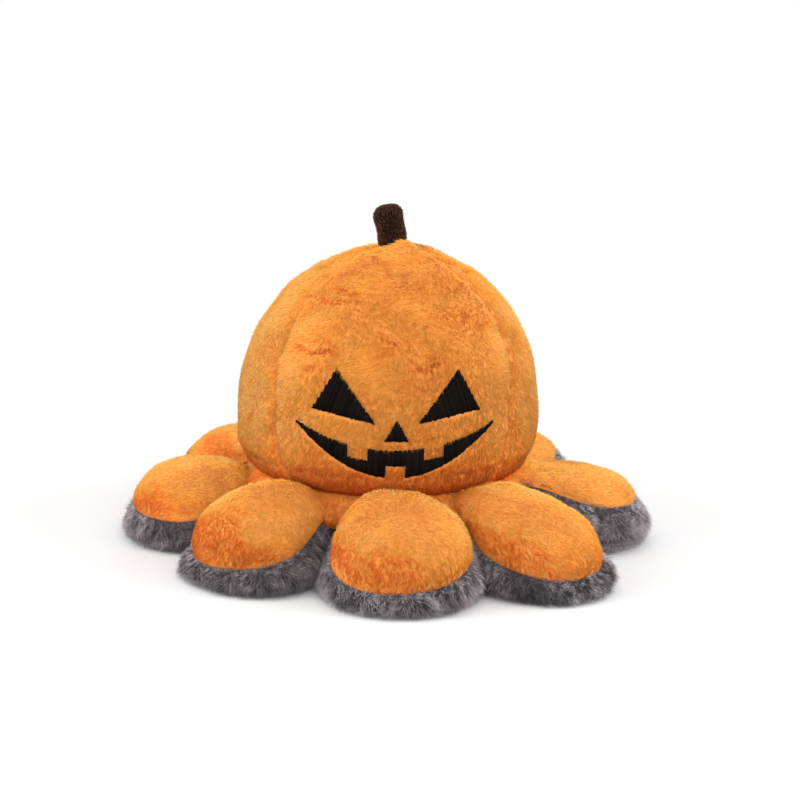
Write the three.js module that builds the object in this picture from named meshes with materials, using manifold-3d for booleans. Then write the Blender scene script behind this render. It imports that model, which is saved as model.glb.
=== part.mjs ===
// A reversible plush pumpkin: a stuffed orange head on a ring of eight stuffed legs, orange on top and
// grey below, with a short stem and a pocket under the head, through which the toy turns inside out.
// Millimetres, +Z up, the face looks along -Y, the origin is the middle of the base.

import * as THREE from 'three';
import { mergeVertices } from 'three/addons/utils/BufferGeometryUtils.js';
import Module from 'manifold-3d';

const wasm = await Module();
wasm.setup();

// Cloth and gaps
const clearance = 0.3; // between neighbouring pieces
const clothThickness = 1.8; // plush cloth, backing and packed pile
const stitchThickness = 1.1; // how far the stitched face stands out

// Head
const headRadius = 61.5; // at its widest
const headWidestHeight = 53;
const headTopHeight = 123;
const headLowerDrop = 31; // half height of the blunt oval that rounds the head in below its widest
const headLowerPower = 4; // how blunt that oval is, 2 is an ellipse
const headFootHeight = 28; // the crease where the head meets the skirt
const frontGoreAngle = 106; // degrees between the front gore's two seams, and the back gore's

// Skirt: the eight-sided ring that the head stands on and the legs hang from
const skirtApothem = 58; // from the middle to each leg's neck
const skirtCornerRadius = 62; // the webs between the necks are rounded off here
const skirtWallHeight = 17; // top of the grey cloth on the skirt's outside
const skirtRise = 1.2; // how much the skirt's top climbs from its edge to the crease
const skirtHoleRadius = 44; // in the skirt's top cloth, where the head's stuffing meets the skirt's
const undersideThickness = 3; // grey cloth and its flattened pile under the toy

// Pocket: the grey head, turned in
const pocketRadius = 25.4;
const pocketStraightHeight = 50;
const pocketCrown = 28.4; // height of its rounded top

// Legs
const legCount = 8;
const legTipRadius = 106; // from the toy's middle
const legMiddleRadius = 82; // where a leg is widest
const legRootLength = 40; // the oval's inner half, part of which the skirt cuts off
const legHalfWidth = 27.5;
const legOvalPower = 2.2; // above 2 is blunter than an ellipse
const legSeamHeightAtTip = 8; // of the seam between orange and grey
const legSeamSlope = 0.24; // how fast that seam climbs towards the head
const legTopHeight = 32.5; // of the orange side at its middle
const legCrownPower = 2.2; // how full the crown is out to the seam, 2 is an ellipse
const legBellyPower = 3; // how flat the underside is
const footCut = 0.5; // depth of the flat that a leg rests on
const furStand = 2.6; // how far a leg's long grey fur stands out past its orange side

// Stem
const stemRadius = 6.4;
const stemHeight = 18.3; // above the head's top
const stemPivotRise = 1; // of the middle of its round lower end above the head's top
const stemSeatGap = 0.5; // round the lower end, in its seat
const stemLean = 7; // degrees towards -X
const stemTipPower = 3; // how blunt the tip is
const stemTipLength = 6;

// Face, in its own flat drawing: across and up, before it is laid on the head
const eyeInner = 9;
const eyeWidth = 24;
const eyeLowHeight = 62;
const eyeSlant = 4; // how much higher the outer corner is
const eyeTall = 20;
const eyePeak = 0.62; // share of the eye's width at which its top corner is
const noseHalfWidth = 4.5;
const noseLowHeight = 55;
const noseTall = 8;
const mouthHalfWidth = 39;
const mouthCornerHeight = 60;
const mouthUpperSag = 9; // how far the upper lip hangs below the corners
const mouthLowerSag = 20;
const toothWidth = 8;
const toothTall = 5;
const upperTeeth = [-15, 15]; // places across
const lowerTeeth = [0];

// Fineness
const headSegments = 32;
const pocketSegments = 24;
const stemSegments = 16;
const legSegments = 20;
const legRings = [0.45, 0.8, 1];
const arcSteps = 6;

const colours = {
  orangePlush: { color: 0xe8741a, roughness: 0.95, metalness: 0 },
  greyFur: { color: 0x6d6770, roughness: 1, metalness: 0 },
  brownPile: { color: 0x2e1a12, roughness: 0.95, metalness: 0 },
  blackThread: { color: 0x0d0c0c, roughness: 0.6, metalness: 0 },
  whiteFibre: { color: 0xeceae4, roughness: 1, metalness: 0 },
};

const group = new THREE.Group();
const materials = {};
for (const [name, look] of Object.entries(colours)) {
  materials[name] = new THREE.MeshStandardMaterial(look);
}

// Turning geometries into solids that can be cut, and back

function solidOf(geometry) {
  const bare = geometry.index ? geometry.toNonIndexed() : geometry.clone();
  bare.deleteAttribute('normal');
  bare.deleteAttribute('uv');
  const merged = mergeVertices(bare);
  return new wasm.Manifold(new wasm.Mesh({
    numProp: 3,
    vertProperties: new Float32Array(merged.attributes.position.array),
    triVerts: new Uint32Array(merged.index.array),
  }));
}

function geometryOf(solid) {
  const mesh = solid.getMesh();
  const geometry = new THREE.BufferGeometry();
  geometry.setAttribute('position', new THREE.BufferAttribute(mesh.vertProperties, 3));
  geometry.setIndex(new THREE.BufferAttribute(mesh.triVerts, 1));
  geometry.computeVertexNormals();
  return geometry;
}

function addPiece(name, solid, material, parent = group) {
  const mesh = new THREE.Mesh(geometryOf(solid), material);
  mesh.name = name;
  parent.add(mesh);
}

// A body turned about Z from [radius, height] points, listed from its lowest outward and up
function turned(profile, segments) {
  const points = profile.map(([radius, height]) => new THREE.Vector2(radius, height));
  const geometry = new THREE.LatheGeometry(points, segments);
  geometry.rotateX(Math.PI / 2);
  return solidOf(geometry);
}

// A flat outline of [x, y] points, made `tall` thick along +Z
function prism(outline, tall) {
  const shape = new THREE.Shape(outline.map(([x, y]) => new THREE.Vector2(x, y)));
  return new THREE.ExtrudeGeometry(shape, { depth: tall, bevelEnabled: false });
}

// The point of an oval at an angle, as [x, y]: a power of 2 is an ellipse, above it the oval is blunter
function ovalPoint(across, up, power, angle) {
  const x = across * Math.abs(Math.cos(angle)) ** (2 / power) * Math.sign(Math.cos(angle));
  const y = up * Math.abs(Math.sin(angle)) ** (2 / power) * Math.sign(Math.sin(angle));
  return [x, y];
}

// Points of a quarter oval from [across, 0] to [0, up]
function quarterOval(across, up, steps, power = 2) {
  const points = [];
  for (let i = 0; i < steps; i += 1) {
    points.push(ovalPoint(across, up, power, (Math.PI / 2) * (i / steps)));
  }
  return [...points, [0, up]];
}

// Head

// Points of the head's rounded lower part from its foot up, moved in by `inset`
function lowerHeadPoints(inset, foot) {
  const drop = headLowerDrop - inset;
  const footAngle = Math.asin(((headWidestHeight - foot) / drop) ** (headLowerPower / 2));
  const points = [];
  for (let i = 0; i < arcSteps; i += 1) {
    const angle = footAngle * (1 - i / arcSteps);
    const [x, y] = ovalPoint(headRadius - inset, drop, headLowerPower, angle);
    points.push([x, headWidestHeight - y]);
  }
  return points;
}

// The head's outside, moved in by `inset` and closed flat at the height `foot`
function headBody(inset, foot) {
  const profile = [[0, foot], ...lowerHeadPoints(inset, foot)];
  const upper = headTopHeight - headWidestHeight - inset;
  for (const [x, y] of quarterOval(headRadius - inset, upper, arcSteps + 2)) {
    profile.push([x, headWidestHeight + y]);
  }
  return turned(profile, headSegments);
}

// A wedge of all space round the Z axis, between two angles in degrees, kept back by half a clearance
function wedge(fromAngle, toAngle) {
  const reach = 3 * headRadius;
  const from = THREE.MathUtils.degToRad(fromAngle);
  const to = THREE.MathUtils.degToRad(toAngle);
  const middle = (from + to) / 2;
  const apex = clearance / 2 / Math.sin((to - from) / 2);
  const corner = (angle) => [
    apex * Math.cos(middle) + reach * Math.cos(angle),
    apex * Math.sin(middle) + reach * Math.sin(angle),
  ];
  const tip = [apex * Math.cos(middle), apex * Math.sin(middle)];
  return solidOf(prism([tip, corner(from), corner(middle), corner(to)], headTopHeight + clearance));
}

const stemPivotHeight = headTopHeight + stemPivotRise;

// The round seat in the head's top that the stem tips in
function stemSeat() {
  const geometry = new THREE.SphereGeometry(stemRadius + stemSeatGap, stemSegments, stemSegments / 2);
  return solidOf(geometry.translate(0, 0, stemPivotHeight));
}

function addHead() {
  const seat = stemSeat();
  const lowest = headFootHeight - clearance;
  const shell = headBody(0, headFootHeight).subtract(headBody(clothThickness, lowest)).subtract(seat);
  const half = frontGoreAngle / 2;
  const gores = {
    head_right_gore: [-90 + half, 90 - half],
    head_back_gore: [90 - half, 90 + half],
    head_left_gore: [90 + half, 270 - half],
    head_front_gore: [270 - half, 270 + half],
  };
  for (const [name, [from, to]] of Object.entries(gores)) {
    addPiece(name, shell.intersect(wedge(from, to)), materials.orangePlush);
  }
  const stuffing = headBody(clothThickness + clearance, headFootHeight + clearance)
    .subtract(seat)
    .subtract(pocketBody(clothThickness + clearance));
  addPiece('head_filling', stuffing, materials.whiteFibre);
}

// Pocket

// The pocket's room, moved out by `outset`, from below the base to its rounded top
function pocketBody(outset, low = -undersideThickness) {
  const radius = pocketRadius + outset;
  const profile = [[0, low], [radius, low]];
  for (const [x, y] of quarterOval(radius, pocketCrown + outset, arcSteps)) {
    profile.push([x, pocketStraightHeight + y]);
  }
  return turned(profile, pocketSegments);
}

function addPocket() {
  const low = undersideThickness + clearance;
  const lining = pocketBody(clothThickness, low).subtract(pocketBody(0));
  addPiece('pocket_lining', lining, materials.greyFur);
}

// Skirt

// An eight-sided block, flat towards each leg, with its corners rounded off
function skirtBlock(inset, low, high) {
  const across = (skirtApothem - inset) / Math.cos(Math.PI / legCount);
  const sides = turned([[0, low], [across, low], [across, high], [0, high]], legCount);
  const corner = skirtCornerRadius - inset;
  const round = turned([[0, low], [corner, low], [corner, high], [0, high]], headSegments);
  return sides.rotate([0, 0, 180 / legCount]).intersect(round);
}

// Everything below the skirt's top, which climbs towards the crease
function belowSkirtTop(drop) {
  const high = headFootHeight - clearance - drop;
  const edge = high - skirtRise;
  const reach = skirtCornerRadius + 1;
  const [crease] = lowerHeadPoints(0, headFootHeight)[0];
  return turned([[0, 0], [reach, 0], [reach, edge], [crease, high], [0, high]], headSegments);
}

function roundBlock(radius, low, high) {
  return turned([[0, low], [radius, low], [radius, high], [0, high]], headSegments);
}

function addSkirt() {
  const tall = headFootHeight;
  const topCloth = skirtBlock(0, skirtWallHeight + clearance, tall)
    .intersect(belowSkirtTop(0))
    .subtract(skirtBlock(clothThickness, 0, tall).intersect(belowSkirtTop(clothThickness)))
    .subtract(roundBlock(skirtHoleRadius, 0, tall));
  addPiece('skirt_top', topCloth, materials.orangePlush);

  const underside = skirtBlock(0, 0, skirtWallHeight)
    .subtract(skirtBlock(clothThickness, undersideThickness, tall))
    .subtract(pocketBody(0));
  addPiece('skirt_underside', underside, materials.greyFur);

  const inset = clothThickness + clearance;
  const floor = undersideThickness + clearance;
  const stuffing = skirtBlock(inset, floor, tall)
    .intersect(belowSkirtTop(inset))
    .add(roundBlock(skirtHoleRadius - clearance, floor, tall))
    .subtract(pocketBody(inset));
  addPiece('skirt_filling', stuffing, materials.whiteFibre);
}

// Legs, each made along +X and then turned to its place

function legSeamHeight(radius) {
  return legSeamHeightAtTip + (legTipRadius - radius) * legSeamSlope;
}

// One puffed leg, moved in by `inset`: an oval in plan, crowned above its seam and full below it
function legBody(inset) {
  const outer = legTipRadius - legMiddleRadius - inset;
  const inner = legRootLength - inset;
  const half = legHalfWidth - inset;
  const rim = [];
  for (let i = 0; i < legSegments; i += 1) {
    const angle = (2 * Math.PI * i) / legSegments;
    rim.push(ovalPoint(Math.cos(angle) > 0 ? outer : inner, half, legOvalPower, angle));
  }
  const heightAbove = (radius, t) => {
    const crown = legTopHeight - inset - legSeamHeight(radius);
    return legSeamHeight(radius) + crown * Math.sqrt(1 - t ** legCrownPower);
  };
  const heightBelow = (radius, t) => {
    const depth = legSeamHeight(radius) + footCut - inset;
    return Math.max(0, inset, legSeamHeight(radius) - depth * Math.sqrt(1 - t ** legBellyPower));
  };
  const positions = [];
  const addRing = (t, height) => {
    for (const [x, y] of rim) {
      const radius = legMiddleRadius + t * x;
      positions.push(radius, t * y, height(radius, t));
    }
  };
  positions.push(legMiddleRadius, 0, heightAbove(legMiddleRadius, 0));
  for (const t of legRings) {
    addRing(t, heightAbove);
  }
  for (const t of legRings.slice(0, -1).reverse()) {
    addRing(t, heightBelow);
  }
  positions.push(legMiddleRadius, 0, heightBelow(legMiddleRadius, 0));

  const rings = 2 * legRings.length - 1;
  const last = 1 + rings * legSegments;
  const faces = [];
  for (let i = 0; i < legSegments; i += 1) {
    const next = (i + 1) % legSegments;
    faces.push(0, 1 + i, 1 + next);
    for (let ring = 0; ring < rings - 1; ring += 1) {
      const upper = 1 + ring * legSegments;
      const lower = upper + legSegments;
      faces.push(upper + i, lower + i, lower + next);
      faces.push(upper + i, lower + next, upper + next);
    }
    faces.push(last, last - legSegments + next, last - legSegments + i);
  }
  const geometry = new THREE.BufferGeometry();
  geometry.setAttribute('position', new THREE.BufferAttribute(new Float32Array(positions), 3));
  geometry.setIndex(faces);
  return solidOf(geometry);
}

// Everything from the leg's neck outward
function beyondNeck() {
  const neck = skirtApothem + clearance;
  const length = legTipRadius + furStand;
  const box = new THREE.BoxGeometry(length, 4 * legHalfWidth, 4 * legTopHeight);
  return solidOf(box.translate(neck + length / 2, 0, 0));
}

// Everything below a leg's seam, shifted up by `shift`
function belowSeam(shift) {
  const near = legMiddleRadius - legRootLength - clearance;
  const far = legTipRadius + furStand + clearance;
  const low = -legTopHeight;
  const outline = [
    [near, low], [far, low], [far, legSeamHeight(far) + shift], [near, legSeamHeight(near) + shift],
  ];
  const geometry = prism(outline, 4 * legHalfWidth);
  geometry.translate(0, 0, -2 * legHalfWidth).rotateX(Math.PI / 2);
  return solidOf(geometry);
}

function addLegs() {
  const outward = beyondNeck();
  const hollow = legBody(clothThickness);
  const sector = wedge(-180 / legCount, 180 / legCount);
  const top = legBody(0).subtract(hollow).intersect(outward).subtract(belowSeam(clearance / 2));
  const fur = legBody(-furStand)
    .subtract(hollow)
    .intersect(outward)
    .intersect(sector)
    .intersect(belowSeam(-clearance / 2));
  const filling = legBody(clothThickness + clearance).intersect(outward);
  for (let i = 0; i < legCount; i += 1) {
    const leg = new THREE.Group();
    leg.rotation.z = -Math.PI / 2 + (2 * Math.PI * i) / legCount;
    addPiece(`leg_${i + 1}_top`, top, materials.orangePlush, leg);
    addPiece(`leg_${i + 1}_fur`, fur, materials.greyFur, leg);
    addPiece(`leg_${i + 1}_filling`, filling, materials.whiteFibre, leg);
    group.add(leg);
  }
}

// Stem, made upright about its pivot and then leaned

function stemBody(inset) {
  const radius = stemRadius - inset;
  const top = stemHeight - stemPivotRise - inset;
  const profile = quarterOval(radius, radius, arcSteps).reverse().map(([x, y]) => [x, -y]);
  for (const [x, y] of quarterOval(radius, stemTipLength, arcSteps, stemTipPower)) {
    profile.push([x, top - stemTipLength + y]);
  }
  return turned(profile, stemSegments);
}

function addStem() {
  const stem = new THREE.Group();
  stem.position.z = stemPivotHeight;
  stem.rotation.y = THREE.MathUtils.degToRad(-stemLean);
  const openEnd = new THREE.BoxGeometry(2 * stemRadius, 2 * stemRadius, 2 * clothThickness);
  openEnd.translate(0, 0, clothThickness - stemRadius);
  const sleeve = stemBody(0).subtract(stemBody(clothThickness)).subtract(solidOf(openEnd));
  addPiece('stem_cover', sleeve, materials.brownPile, stem);
  addPiece('stem_filling', stemBody(clothThickness + clearance), materials.whiteFibre, stem);
  group.add(stem);
}

// Face

function eyeOutline(side) {
  return [
    [side * eyeInner, eyeLowHeight],
    [side * (eyeInner + eyeWidth), eyeLowHeight + eyeSlant],
    [side * (eyeInner + eyeWidth * eyePeak), eyeLowHeight + eyeTall],
  ];
}

function noseOutline() {
  return [[-noseHalfWidth, noseLowHeight], [noseHalfWidth, noseLowHeight], [0, noseLowHeight + noseTall]];
}

// Height of a lip, which hangs by `sag` at its middle
function lipHeight(x, sag) {
  return mouthCornerHeight - sag * (1 - (x / mouthHalfWidth) ** 2);
}

// The points of a lip from corner to corner, with square teeth that stand `toothRise` off it
function lip(sag, teeth, toothRise) {
  const half = toothWidth / 2;
  const steps = 2 * arcSteps;
  const points = [];
  for (let i = 0; i <= steps; i += 1) {
    const x = mouthHalfWidth * (2 * (i / steps) - 1);
    if (teeth.every((place) => Math.abs(x - place) > half)) {
      points.push([x, lipHeight(x, sag)]);
    }
  }
  for (const place of teeth) {
    const left = place - half;
    const right = place + half;
    points.push([left, lipHeight(left, sag)], [left, lipHeight(left, sag) + toothRise]);
    points.push([right, lipHeight(right, sag) + toothRise], [right, lipHeight(right, sag)]);
  }
  return points.sort((a, b) => a[0] - b[0]); // a tooth's two points at one x keep their order
}

function mouthOutline() {
  const upper = lip(mouthUpperSag, upperTeeth, -toothTall);
  const lower = lip(mouthLowerSag, lowerTeeth, toothTall);
  return [...lower, ...upper.slice(1, -1).reverse()];
}

// A flat drawing laid on the front of the head as a stitched layer
function stitched(outline) {
  const geometry = prism(outline, 2 * headRadius).rotateX(Math.PI / 2);
  const layer = headBody(-clearance - stitchThickness, headFootHeight);
  return layer.subtract(headBody(-clearance, headFootHeight)).intersect(solidOf(geometry));
}

function addFace() {
  const outlines = {
    left_eye: eyeOutline(-1).reverse(),
    right_eye: eyeOutline(1),
    nose: noseOutline(),
    mouth: mouthOutline(),
  };
  for (const [name, outline] of Object.entries(outlines)) {
    addPiece(name, stitched(outline), materials.blackThread);
  }
}

addHead();
addPocket();
addSkirt();
addLegs();
addStem();
addFace();

export default group;
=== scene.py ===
"""The looks of a reversible plush pumpkin: its cloth, pile, long fur, stitches and stuffing.

Metres, +Z up, the face looks along -Y. The toy's sizes are written in millimetres, as a number times MM,
and the studio's in metres.
"""

import math
from dataclasses import dataclass
from functools import lru_cache

import bpy
import numpy as np
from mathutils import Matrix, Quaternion, Vector


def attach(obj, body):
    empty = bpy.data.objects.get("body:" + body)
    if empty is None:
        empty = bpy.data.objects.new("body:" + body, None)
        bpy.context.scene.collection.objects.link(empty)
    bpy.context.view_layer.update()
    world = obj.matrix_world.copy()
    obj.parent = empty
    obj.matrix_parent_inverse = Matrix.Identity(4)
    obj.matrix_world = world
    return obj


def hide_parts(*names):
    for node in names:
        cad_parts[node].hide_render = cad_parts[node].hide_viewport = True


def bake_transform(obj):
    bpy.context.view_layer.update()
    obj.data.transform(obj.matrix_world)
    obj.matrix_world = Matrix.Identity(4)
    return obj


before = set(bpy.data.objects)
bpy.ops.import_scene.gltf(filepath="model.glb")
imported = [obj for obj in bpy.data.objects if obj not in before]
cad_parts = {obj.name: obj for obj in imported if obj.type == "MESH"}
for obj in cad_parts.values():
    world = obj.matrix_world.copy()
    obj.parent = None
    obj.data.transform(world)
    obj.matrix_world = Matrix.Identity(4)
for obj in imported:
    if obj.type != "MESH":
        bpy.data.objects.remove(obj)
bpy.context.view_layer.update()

MM = 0.001
FLOOR_GAP = 0.15 * MM  # below the lowest fibres
UP = np.array([0, 0, 1.0])
LEVEL = np.array([1, 1, 0])  # times a direction, takes its height off

# Head
HEAD_RADIUS = 61.5 * MM
HEAD_WIDEST = 53 * MM
HEAD_TOP = 123 * MM
HEAD_FOOT = 31.5 * MM
HEAD_DROP = 27.5 * MM  # half height of the blunt oval that rounds the head in below its widest
HEAD_DROP_POWER = 4
FRONT_GORE_ANGLE = 108  # degrees between the front gore's two seams
SEAMS_IN = 3.5  # degrees by which each front seam closes in below the forehead
SEAMS_IN_AT_FOOT = 6  # and further at the foot
HEAD_LEAN = 0.02  # how far its top stands to the right, as a share of its height
TUFT_PLACE = (4 * MM, -5 * MM, 122.5 * MM)  # a low hump in front of the stem's foot
TUFT_RISE = 3.6 * MM
TUFT_WIDTH = 5 * MM
SEAM_DEPTH = 2.0 * MM
SEAM_WIDTH = 1.0 * MM

# Skirt and pocket
SKIRT_APOTHEM = 58 * MM
SKIRT_CORNER = 62 * MM
SKIRT_INNER = 50 * MM  # where the cloth of the skirt and legs goes in under the head
WEB_TOP = 32.0 * MM
WEB_DROP = 10.5 * MM  # how far a web falls from the crease to its notch
WEB_NOTCH = 63.5 * MM
POCKET_RADIUS = 25.4 * MM
POCKET_STRAIGHT = 50 * MM
POCKET_CROWN = 28.4 * MM
UNDERSIDE = 3 * MM

# Legs
LEGS = 8
LEG_TIP = 106 * MM
LEG_MIDDLE = 82 * MM
LEG_ROOT = 35 * MM
LEG_HALF = 26.4 * MM
LEG_OVAL_POWER = 2.2
LEG_NECK_TAPER = 0.15
LEG_SEAM_AT_NECK = 3 * MM  # how much more the seam climbs beside the neck
LEG_TOP = 32.5 * MM
LEG_CROWN_POWER = 2.0
LEG_BELLY_POWER = 2.3

# Stem
STEM_RADIUS = 5.7 * MM
STEM_PIVOT = 124 * MM
STEM_TOP = 140.2 * MM
STEM_LEAN = math.radians(11)
STEM_ASIDE = 1.2 * MM
STEM_TIP = 6 * MM

# Face, drawn flat as across and up
EYE_INNER = 9 * MM
EYE_WIDTH = 24 * MM
EYE_LOW = 62 * MM
EYE_SLANT = 4 * MM
EYE_TALL = 20 * MM
EYE_PEAK = 0.62
NOSE_HALF = 4.5 * MM
NOSE_LOW = 55 * MM
NOSE_TALL = 8 * MM
MOUTH_HALF = 39 * MM
MOUTH_CORNER = 60 * MM
MOUTH_UPPER_SAG = 9 * MM
MOUTH_LOWER_SAG = 20 * MM
TOOTH_WIDTH = 8 * MM
TOOTH_TALL = 5 * MM
UPPER_TEETH = (-15 * MM, 15 * MM)
LOWER_TEETH = (0,)


# Camera

CAMERA_DISTANCE = 0.698
CAMERA_ELEVATION = math.radians(12.44)
CAMERA_TURN = math.radians(-4.19)
CAMERA_ROLL = math.radians(1.4)
CAMERA_TARGET = (0.0056, 0, 0.05765)
CAMERA_LENS = 73.9


def make_camera():
    data = bpy.data.cameras.new("camera")
    data.lens = CAMERA_LENS
    camera = bpy.data.objects.new("camera", data)
    bpy.context.scene.collection.objects.link(camera)
    level = math.cos(CAMERA_ELEVATION)
    back = Vector((
        math.sin(CAMERA_TURN) * level,
        -math.cos(CAMERA_TURN) * level,
        math.sin(CAMERA_ELEVATION),
    ))
    camera.location = Vector(CAMERA_TARGET) + CAMERA_DISTANCE * back
    upright = back.to_track_quat("Z", "Y")
    camera.rotation_euler = (Quaternion(back, CAMERA_ROLL) @ upright).to_euler()
    bpy.context.scene.camera = camera


# Shader maths

class Value:
    """A shader socket that works in sums like a number."""

    def __init__(self, paint, socket):
        self.paint = paint
        self.socket = socket

    def _math(self, operation, first, second):
        made = self.paint.node("ShaderNodeMath", {"operation": operation}, {0: first, 1: second})
        return Value(self.paint, made.outputs[0])

    def __sub__(self, other):
        return self._math("SUBTRACT", self, other)

    def __rsub__(self, other):
        return self._math("SUBTRACT", other, self)

    def __mul__(self, other):
        return self._math("MULTIPLY", self, other)

    def __rmul__(self, other):
        return self._math("MULTIPLY", other, self)


class Paint:
    """The node tree of one material, or of the world."""

    def __init__(self, tree):
        self.tree = tree
        self.tree.nodes.clear()

    def node(self, kind, settings=None, inputs=None):
        """Adds a node: its settings first, with a ramp's stops as (place, colour), then its inputs."""
        made = self.tree.nodes.new(kind)
        for name, value in (settings or {}).items():
            if name == "stops":
                set_stops(made.color_ramp, value)
            else:
                setattr(made, name, value)
        for name, value in (inputs or {}).items():
            if isinstance(value, Value):
                self.tree.links.new(value.socket, made.inputs[name])
            else:
                made.inputs[name].default_value = value
        return made

    def value(self, made, output=0):
        return Value(self, made.outputs[output])

    def attribute(self, name):
        return self.value(self.node("ShaderNodeAttribute", {"attribute_name": name}), "Fac")

    def seen(self):
        """1 for what the camera sees itself, 0 for what only lights or mirrors other things."""
        return self.value(self.node("ShaderNodeLightPath"), "Is Camera Ray")

    def noise(self, size, detail=2.0):
        """Smooth noise from 0 to 1 with lumps about `size` metres across, fixed to the piece."""
        place = self.value(self.node("ShaderNodeTexCoord"), "Object")
        inputs = {"Vector": place, "Scale": 1 / size, "Detail": detail}
        return self.value(self.node("ShaderNodeTexNoise", None, inputs), "Fac")

    def ramp(self, factor, stops):
        return self.value(self.node("ShaderNodeValToRGB", {"stops": stops}, {"Fac": factor}), "Color")

    def mix(self, factor, first, second, blend="MIX"):
        settings = {"data_type": "RGBA", "blend_type": blend, "clamp_factor": True}
        return self.value(self.node("ShaderNodeMix", settings, {0: factor, 6: first, 7: second}), 2)

    def times(self, first, second):
        """Two colours multiplied."""
        return self.mix(1.0, first, second, "MULTIPLY")

    def varied(self, colour, stops):
        """A colour, scaled by each strand's own random share of a ramp."""
        return self.times(colour, self.ramp(self.attribute("own"), stops))

    def bump(self, height, strength, distance):
        inputs = {"Height": height, "Strength": strength, "Distance": distance}
        return self.value(self.node("ShaderNodeBump", None, inputs), "Normal")

    def surface(self, shader):
        self.node("ShaderNodeOutputMaterial", None, {"Surface": self.value(shader)})

    def principled(self, inputs):
        self.surface(self.node("ShaderNodeBsdfPrincipled", None, inputs))


def set_stops(ramp, stops):
    while len(ramp.elements) < len(stops):
        ramp.elements.new(1)
    for element, (place, colour) in zip(ramp.elements, stops):
        element.position = place
        element.color = colour


def rgb(red, green, blue):
    return (red, green, blue, 1)


def new_material(name):
    material = bpy.data.materials.new(name)
    material.use_nodes = True
    return material, Paint(material.node_tree)


# Materials

WHITE = rgb(1, 1, 1)
# Painted highlight: the golden pile on the sides of the head and the tops of the legs
HIGHLIGHT_ORANGE = rgb(0.97, 0.61, 0.17)
PLAIN_ORANGE = rgb(0.97, 0.525, 0.09)
# Red-orange: redder patches where the pile is brushed, and painted shade low down, in creases and on
# sides facing left
RED_ORANGE = rgb(0.91, 0.25, 0.028)
OPEN_ORANGE = rgb(0.54, 0.085, 0.011)
ROOT_SHADE = rgb(0.87, 0.60, 0.37)  # darkens and reddens each fibre's own colour at its root: partly the fibres' own roots, partly painted shade deep in the pile
GOLD_SHEEN = rgb(1.0, 0.62, 0.26)
PLAIN_TINT = 0.3  # of the orange pile: 0 is golden, a painted highlight
RED_TINT = 0.8  # and 1 is dark, where it is brushed open
BLOTCH_SIZE = 14 * MM


@dataclass
class Finish:
    """A material, and the name of a slot of the frame; the slot is not used."""
    material: bpy.types.Material
    slot: str


def orange_pile():
    material, paint = new_material("orange_pile")
    stops = [(0, HIGHLIGHT_ORANGE), (PLAIN_TINT, PLAIN_ORANGE), (RED_TINT, RED_ORANGE), (1, OPEN_ORANGE)]
    tip = paint.ramp(paint.attribute("tint"), stops)
    colour = paint.mix(paint.attribute("along"), paint.times(tip, ROOT_SHADE), tip)
    paint.principled({
        "Base Color": paint.varied(colour, [(0, rgb(0.84, 0.64, 0.48)), (1, WHITE)]),
        "Roughness": 0.85,
        "Specular IOR Level": 0.12,
        "Sheen Weight": 0.12,
        "Sheen Roughness": 0.5,
        "Sheen Tint": GOLD_SHEEN,
    })
    return material


def grey_fur():
    """Dark roots and pale tips: paler all along where the tint is low, evenly dark where it is high. The
    tint holds painted shade and a painted rim light.
    """
    material, paint = new_material("grey_fur")
    along = paint.attribute("along")
    tint = paint.attribute("tint")
    common = [(0, rgb(0.016, 0.014, 0.015)), (0.5, rgb(0.085, 0.071, 0.074)), (1, rgb(0.98, 0.84, 0.87))]
    pale = [(0, rgb(0.06, 0.05, 0.053)), (0.5, rgb(0.34, 0.29, 0.305)), (1, rgb(0.98, 0.86, 0.89))]
    colour = paint.mix(0.8 - tint * 2.4, paint.ramp(along, common), paint.ramp(along, pale))
    colour = paint.mix(tint * 1.4 - 0.45, colour, rgb(0.055, 0.049, 0.052))
    paint.principled({
        "Base Color": paint.varied(colour, [(0.2, rgb(0.14, 0.13, 0.14)), (0.8, WHITE)]),
        "Roughness": 0.6,
        "Specular IOR Level": 0.35,
        "Sheen Weight": 0.3,
        "Sheen Roughness": 0.5,
    })
    return material


def brown_pile():
    material, paint = new_material("brown_pile")
    stops = [(0, rgb(0.010, 0.004, 0.002)), (1, rgb(0.15, 0.060, 0.032))]
    colour = paint.ramp(paint.attribute("along"), stops)
    tones = [(0, rgb(0.30, 0.26, 0.24)), (0.8, rgb(1.0, 0.9, 0.8)), (1, rgb(1.0, 1.0, 0.5))]
    paint.principled({
        "Base Color": paint.varied(colour, tones),
        "Roughness": 0.9,
        "Specular IOR Level": 0.15,
    })
    return material


def black_thread():
    material, paint = new_material("black_thread")
    stops = [(0, rgb(0.003, 0.002, 0.002)), (1, rgb(0.008, 0.006, 0.005))]
    colour = paint.ramp(paint.attribute("own"), stops)
    paint.principled({"Base Color": colour, "Roughness": 0.7, "Specular IOR Level": 0.04})
    return material


def grained(name, grain, shades, roughness, bump, blotch=None):
    """A cloth or loose fibre with a grain of two shades. grain is its size and detail."""
    material, paint = new_material(name)
    height = paint.noise(*grain)
    colour = paint.mix(height, *shades)
    if blotch:
        colour = paint.mix(paint.noise(BLOTCH_SIZE), colour, blotch)
    normal = paint.bump(height, *bump)
    paint.principled({"Base Color": colour, "Roughness": roughness, "Normal": normal})
    return material


def orange_cloth():
    shades = [rgb(0.55, 0.18, 0.024), rgb(0.72, 0.29, 0.055)]
    blotch = rgb(0.64, 0.225, 0.038)
    return grained("orange_cloth", (1.2 * MM, 3), shades, 0.95, (0.6, 0.4 * MM), blotch)


def grey_cloth():
    shades = [rgb(0.035, 0.031, 0.033), rgb(0.10, 0.092, 0.095)]
    return grained("grey_cloth", (1.5 * MM, 3), shades, 0.95, (0.6, 0.5 * MM))


def white_fibre():
    shades = [rgb(0.70, 0.69, 0.66), rgb(0.90, 0.89, 0.87)]
    return grained("white_fibre", (3 * MM, 4), shades, 1.0, (0.8, 1.5 * MM))


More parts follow.
